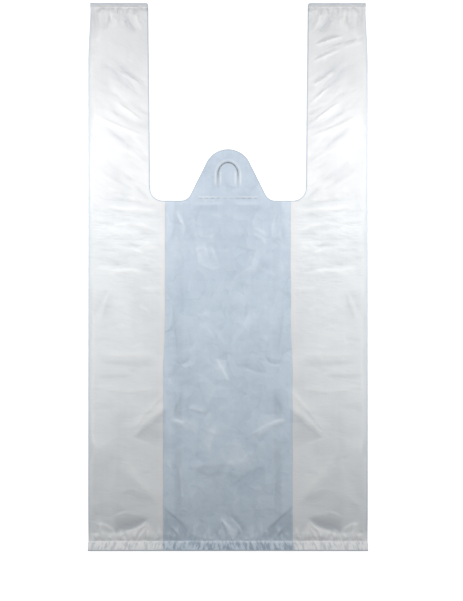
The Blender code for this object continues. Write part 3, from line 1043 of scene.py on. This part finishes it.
mark_creases(bag, points)
print("marks:", [mark.name for mark in bag.data.attributes if mark.name[:4] in ("from", "crea", "face")])

# %% [markdown]
# ## The milky film
# Four layers of the film look white, and two look blue grey, because more of the dark inside shows through
# them. So the colour changes in one clear line along each gusset crease. Blown film also has faint streaks
# along its length, a soft sheen, and a crinkle too fine for the mesh, which is a bump. Light and shade are
# painted into the colour too: on the creases, facets and ribs, beside the gusset creases, on the lips of
# the cuts, in the slit and the tear cuts, and as a contact shadow along the bottom edge.

# %% Colours of the film
FOUR_LAYERS = (0.84, 0.865, 0.88, 1.0)
FOUR_ON_HANDLES = (0.87, 0.872, 0.88, 1.0)
TWO_LAYERS = (0.63, 0.73, 0.83, 1.0)
TWO_NEAR_MOUTH = (0.59, 0.67, 0.765, 1.0)
# Painted highlight and lighter tone between the gusset creases, and the painted strip of light just inside
# each crease
INNER_LIGHT_TONE_AND_HIGHLIGHT = (0.80, 0.88, 0.96, 1.0)
# Painted highlight along the outside of each gusset crease, where the front film bends over it
CREASE_HIGHLIGHT_LINE = (0.88, 0.865, 0.86, 1.0)
FOLD_LINE = (0.78, 0.88, 0.98, 1.0)
CUT_LINE = (0.49, 0.56, 0.66, 1.0)
TOP_BAND = (0.70, 0.70, 0.72, 1.0)
BOTTOM_BAND = (0.97, 0.99, 1.0, 1.0)
# Painted highlight on crests, lips and ribs, and also the tone that lighter streaks and clouds take
LIGHT_TONE_AND_HIGHLIGHT = (1.0, 1.0, 1.0, 1.0)
# Painted shade in hollows and folds and between ribs, and also the tone that darker streaks and clouds take
DARK_TONE_AND_SHADE = (0.41, 0.45, 0.50, 1.0)
# The same painted shade and darker tone, between the gusset creases
INNER_DARK_TONE_AND_SHADE = (0.36, 0.44, 0.53, 1.0)
SLIT_SHADE = (0.12, 0.14, 0.17, 1.0)
# Painted contact shadow along the bottom edge, where the bag meets the floor
FOOT_SHADOW = (0.34, 0.37, 0.42, 1.0)


def past_crease(x, y):
    """How far a place is beyond the gusset crease, which wanders a little along the bag."""
    return abs(x) - CREASE_X + (y.band(-100 * MM, -40 * MM) * 1.9 - 0.75) * MM


def noise_along(finish, y, scale, detail):
    """Noise that only changes along the bag."""
    sockets = {"W": y, "Scale": scale, "Detail": detail}
    return finish.node("ShaderNodeTexNoise", {"noise_dimensions": "1D"}, sockets)


def layer_colour(finish, x, y):
    """Where there are four layers and where two, with painted light and shade where the front film bends
    over each gusset's edge and sags down inside it.
    """
    away = past_crease(x, y) + (noise_along(finish, y, 30.0, 2.0) - 0.5) * (1.2 * MM)
    two = finish.mix(y.band(-50 * MM, 50 * MM), TWO_LAYERS, TWO_NEAR_MOUTH)
    four = finish.mix(y.band(30 * MM, 110 * MM), FOUR_LAYERS, FOUR_ON_HANDLES)
    colour = finish.mix(away.band(-0.4 * MM, 0.4 * MM), two, four)
    # A painted highlight just outside the crease
    colour = finish.mix(away.stripe(1.5 * MM, 4.0 * MM, 1.5 * MM) * 0.6, colour, CREASE_HIGHLIGHT_LINE)
    patchy = noise_along(finish, y, 26.0, 3.0).band(0.40, 0.66)
    # A painted highlight just inside the crease, stronger near the mouth
    light = patchy * 0.12 + y.band(20 * MM, 60 * MM) * 0.28
    colour = finish.mix(away.stripe(-8 * MM, -2 * MM, 2.5 * MM) * light, colour, INNER_LIGHT_TONE_AND_HIGHLIGHT)
    # A line of painted shade where the front film sags down onto the back
    dark = patchy * (1 - y.band(-140 * MM, -70 * MM)) * 0.2 + 0.06
    return finish.mix(away.stripe(-17 * MM, -13 * MM, 3 * MM) * dark, colour, DARK_TONE_AND_SHADE)


# %% Patterns on the film
def noise(finish, place, scale, detail, output=0):
    sockets = {"Vector": place, "Scale": scale, "Detail": detail}
    return finish.node("ShaderNodeTexNoise", None, sockets, output)


def stretched(finish, place, scale):
    """Places scaled by an amount of their own along each axis."""
    return finish.node("ShaderNodeMapping", None, {"Vector": place, "Scale": scale})


def vector_math(finish, operation, sockets, output=0):
    return finish.node("ShaderNodeVectorMath", {"operation": operation}, sockets, output)


def warped(finish, place, scale, detail, amount):
    """Places pushed about by noise, so that the cells on them aren't all straight."""
    push = vector_math(finish, "SCALE", {0: noise(finish, place, scale, detail, "Color"), "Scale": amount})
    return vector_math(finish, "ADD", {0: place, 1: push})


def cell_sockets(finish, place, size):
    """What a Voronoi node needs, with the cells for each metre along each axis."""
    return {"Vector": stretched(finish, place, size), "Scale": 1.0}


def tilted_cells(finish, place, size):
    """A painted shade that grows across each cell in a direction of its own, standing in for light on small
    flat facets.
    """
    cells = cell_sockets(finish, place, size)
    middle = finish.node("ShaderNodeTexVoronoi", None, cells, "Position")
    tilt = finish.node("ShaderNodeTexVoronoi", None, cells, "Color")
    tilt = vector_math(finish, "SUBTRACT", {0: tilt, 1: (0.5, 0.5, 0.5)})
    across = vector_math(finish, "SUBTRACT", {0: cells["Vector"], 1: middle})
    return vector_math(finish, "DOT_PRODUCT", {0: across, 1: tilt}, "Value")


# %% Painted light and shade of the film, over its own streaks and clouds
def film_colour(finish, place, x, y):
    """The layers' colour with streaks and clouds, and with painted light and shade of facets and creases.
    """
    inner = 1 - past_crease(x, y).band(-0.2 * MM, 0.2 * MM)
    streaks = noise(finish, stretched(finish, place, (260.0, 4.0, 1.0)), 1.0, 2.0)
    clouds = noise(finish, place, 30.0, 3.0)
    cloudy = y.band(MOUTH_Y, MOUTH_Y + 8 * MM) * inner * 1.2 + 0.24
    # Streaks and clouds are the film's own tone, and the facet mark adds painted facet light and shade
    shade = (streaks - 0.5) * 0.10 + (clouds - 0.5) * cloudy + finish.mark("facet") * 0.17
    bent = warped(finish, place, 50.0, 1.0, 0.012)
    # Tilted cells paint more facet light and shade
    shade += tilted_cells(finish, bent, (70.0, 55.0, 1.0)) * inner * 0.42
    shade += tilted_cells(finish, bent, (140.0, 150.0, 1.0)) * inner * 0.3
    # Positive shares go to the lighter tone and painted highlight, and negative ones to the darker tone and
    # painted shade
    light = finish.mix(inner, LIGHT_TONE_AND_HIGHLIGHT, INNER_LIGHT_TONE_AND_HIGHLIGHT)
    dark = finish.mix(inner, DARK_TONE_AND_SHADE, INNER_DARK_TONE_AND_SHADE)
    # The crease mark paints highlights on crests and shade in hollows
    mark = finish.mark("crease")
    colour = layer_colour(finish, x, y)
    for share, tone in ((shade, light), (shade * -1.0, dark), (mark * 0.42, light), (mark * -0.22, dark)):
        colour = finish.mix(share.math("MAXIMUM", 0.0), colour, tone)
    return colour


# %% Lines along the edges and the welds
def edge_colour(finish, colour, y):
    """Lines along the folded and the cut edges, and the pressed band over each handle."""
    colour = finish.mix((1 - finish.mark("from_fold").band(0.4, 2.0)) * 0.9, colour, FOLD_LINE)
    top = y.band(TOP_WELD_Y - 0.4 * MM, TOP_WELD_Y + 0.4 * MM)
    colour = finish.mix(top * 0.8, colour, TOP_BAND)
    return finish.mix((1 - finish.mark("from_cut").band(0.5, 1.5)) * 0.85, colour, CUT_LINE)


def skirt_colour(finish, colour, x, y):
    """The bottom skirt and the bead above it are ribbed, and whiter where there are four layers. The ribs
    get painted highlights and shade, the bead a painted highlight, and the bottom edge a painted contact
    shadow.
    """
    bottom = 1 - y.band(BOTTOM_WELD_Y - 0.4 * MM, BOTTOM_WELD_Y + 0.6 * MM)
    bottom *= finish.mark("from_cut").band(0.7, 1.5)
    outer = past_crease(x, y).band(0.0, MM)
    colour = finish.mix(bottom * outer * 0.9, colour, BOTTOM_BAND)
    leaning = {"X": (abs(x) + y * RIB_LEAN) * 330.0, "Y": y * 120.0 + x * 50.0}
    ribs = noise(finish, finish.node("ShaderNodeCombineXYZ", None, leaning), 1.0, 3.0)
    # Painted highlight tone for the ribs and the bead
    light = finish.mix(outer, INNER_LIGHT_TONE_AND_HIGHLIGHT, LIGHT_TONE_AND_HIGHLIGHT)
    fan = (y - BOTTOM_WELD_Y).stripe(0.0, 7 * MM, 5 * MM) * outer
    colour = finish.mix(fan * (0.5 + ribs.band(0.40, 0.62) * 0.4), colour, BOTTOM_BAND)
    colour = finish.mix(bottom * ribs.band(0.47, 0.62) * (0.35 + outer * 0.6), colour, light)
    # Painted shade between the ribs
    dark = finish.mix(outer, INNER_DARK_TONE_AND_SHADE, DARK_TONE_AND_SHADE)
    colour = finish.mix(bottom * (1 - ribs.band(0.36, 0.56)) * (0.85 - outer * 0.45), colour, dark)
    bead = (y - BOTTOM_WELD_Y).stripe(-0.8 * MM, 0.4 * MM, 0.6 * MM)
    colour = finish.mix(bead * (0.35 + ribs.band(0.40, 0.60) * 0.5), colour, light)
    # A painted contact shadow along the bottom edge
    foot_shadow = 1 - (y + HALF_LENGTH).band(0.5 * MM, 1.3 * MM)
    return finish.mix(foot_shadow * 0.7, colour, FOOT_SHADOW)


# %% Lines along the slit and the tear line
def slit_colour(finish, colour, x, y):
    """The slit is a dark line of painted shade, with a painted highlight on the lip at each side."""
    from_slit = finish.mark("from_slit")
    above_foot = y.band(SLIT_SPRING_Y - SLIT_LEG_LENGTH, SLIT_SPRING_Y - SLIT_LEG_LENGTH + 5 * MM)
    above_spring = (y - SLIT_SPRING_Y).math("MAXIMUM", 0.0)
    outside = (x.math("POWER", 2.0) + above_spring.math("POWER", 2.0)).math("SQRT")
    outside = outside.band(SLIT_ARCH_RADIUS - MM, SLIT_ARCH_RADIUS + MM)
    beside = (y - SLIT_SPRING_Y).stripe(-7 * MM, MM, 4 * MM)
    # Painted highlights on the lips beside the slit
    lip_highlights = outside * (0.18 + beside * 0.16) + (1 - outside) * beside * 0.3
    colour = finish.mix(from_slit.stripe(2.4, 3.0, 1.0) * above_foot * lip_highlights, colour, LIGHT_TONE_AND_HIGHLIGHT)
    # The slit's painted shade, strongest over the arch
    strength = 0.35 + y.band(SLIT_SPRING_Y - 7 * MM, SLIT_SPRING_Y + 3 * MM) * 0.6
    return finish.mix((1 - from_slit.band(0.2, 1.0)) * strength, colour, SLIT_SHADE)


def tear_colour(finish, colour, x, y):
    """The tear cuts are faint dashes of painted shade, with a painted highlight on one lip above them."""
    along_tear = 1 - abs(x).band(TEAR_HALF_LENGTH - 4 * MM, TEAR_HALF_LENGTH)
    # A painted highlight along the lip above the cuts
    lip = (y - TEAR_LINE_Y).stripe(1.2 * MM, 1.5 * MM, 0.9 * MM) * along_tear
    colour = finish.mix(lip * (0.1 + abs(x).band(8 * MM, 16 * MM) * 0.2), colour, LIGHT_TONE_AND_HIGHLIGHT)
    pitch = TEAR_CUT_LENGTH + TEAR_BRIDGE_LENGTH
    dash = 1 - abs((x * (1 / pitch)).math("FRACT") - 0.5).band(0.24, 0.40)
    # Painted shade in the cuts
    cut = (y - TEAR_LINE_Y).stripe(-0.3 * MM, 0.3 * MM, 0.5 * MM) * dash * along_tear
    return finish.mix(cut * (0.08 + abs(x).band(6 * MM, 14 * MM) * 0.17), colour, SLIT_SHADE)


# %% The crinkle
HANDLE_MIDDLE = 110 * MM
HANDLE_SLANT = 0.65


def roofs(finish, place, size, steepness):
    """Cells that rise or sink to a ridge like small roofs, in millimetres of height."""
    cells = cell_sockets(finish, place, size)
    rise = finish.node("ShaderNodeTexVoronoi", {"feature": "DISTANCE_TO_EDGE"}, cells)
    chance = finish.node("ShaderNodeTexVoronoi", None, cells, "Color")
    chance = finish.node("ShaderNodeSeparateColor", None, {0: chance})
    return rise * (chance - 0.45) * steepness


def crinkle(finish, x, y):
    """Small facets and lines, which run across the sides and slant on the handles."""
    beyond = past_crease(x, y).band(-0.2 * MM, 0.2 * MM)
    across = beyond * abs(x) + (1 - beyond) * x
    slant = beyond * (across - HANDLE_MIDDLE) * y.band(60 * MM, 130 * MM) * HANDLE_SLANT
    place = finish.node("ShaderNodeCombineXYZ", None, {"X": across, "Y": y - slant})
    bent = warped(finish, place, 35.0, 2.0, 0.016)
    outer = roofs(finish, bent, (50.0, 105.0, 1.0), 1.5) + roofs(finish, bent, (120.0, 260.0, 1.0), 0.6)
    inner = roofs(finish, bent, (62.0, 58.0, 1.0), 2.6) + roofs(finish, bent, (150.0, 165.0, 1.0), 0.8)
    lines = noise(finish, stretched(finish, bent, (38.0, 150.0, 1.0)), 1.0, 2.0)
    lines = (1 - abs(lines - 0.5) * 9.0).math("MAXIMUM", 0.0)
    smoother = 0.4 + y.band(-90 * MM, 30 * MM) * 0.6
    return beyond * smoother * (outer + lines * 0.12) + (1 - beyond) * inner


# %% The finish as a whole
FILM_ROUGHNESS = 0.28
FILM_IOR = 1.5
SHARP_ANGLE = math.radians(50)


def milky_film():
    finish = Finish("milky_film")
    place = finish.node("ShaderNodeTexCoord", output="Object")
    x, y = [finish.node("ShaderNodeSeparateXYZ", None, {0: place}, axis) for axis in ("X", "Y")]
    colour = edge_colour(finish, film_colour(finish, place, x, y), y)
    for with_lines in (skirt_colour, slit_colour, tear_colour):
        colour = with_lines(finish, colour, x, y)
    finish.plug(finish.shader.inputs["Base Color"], colour)
    sockets = {"Height": crinkle(finish, x, y), "Strength": 1.0, "Distance": MM}
    finish.plug(finish.shader.inputs["Normal"], finish.node("ShaderNodeBump", None, sockets, "Normal"))
    finish.shader.inputs["Roughness"].default_value = FILM_ROUGHNESS
    finish.shader.inputs["IOR"].default_value = FILM_IOR
    return finish.material


bag.data.materials.clear()
bag.data.materials.append(milky_film())
bag.data.shade_smooth()
bag.data.set_sharp_from_angle(angle=SHARP_ANGLE)
print("nodes in the finish:", len(bag.data.materials[0].node_tree.nodes))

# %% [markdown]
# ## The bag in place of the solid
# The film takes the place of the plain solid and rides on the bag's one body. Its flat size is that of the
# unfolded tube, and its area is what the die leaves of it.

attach(bag, "root")
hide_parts("carrier_bag")
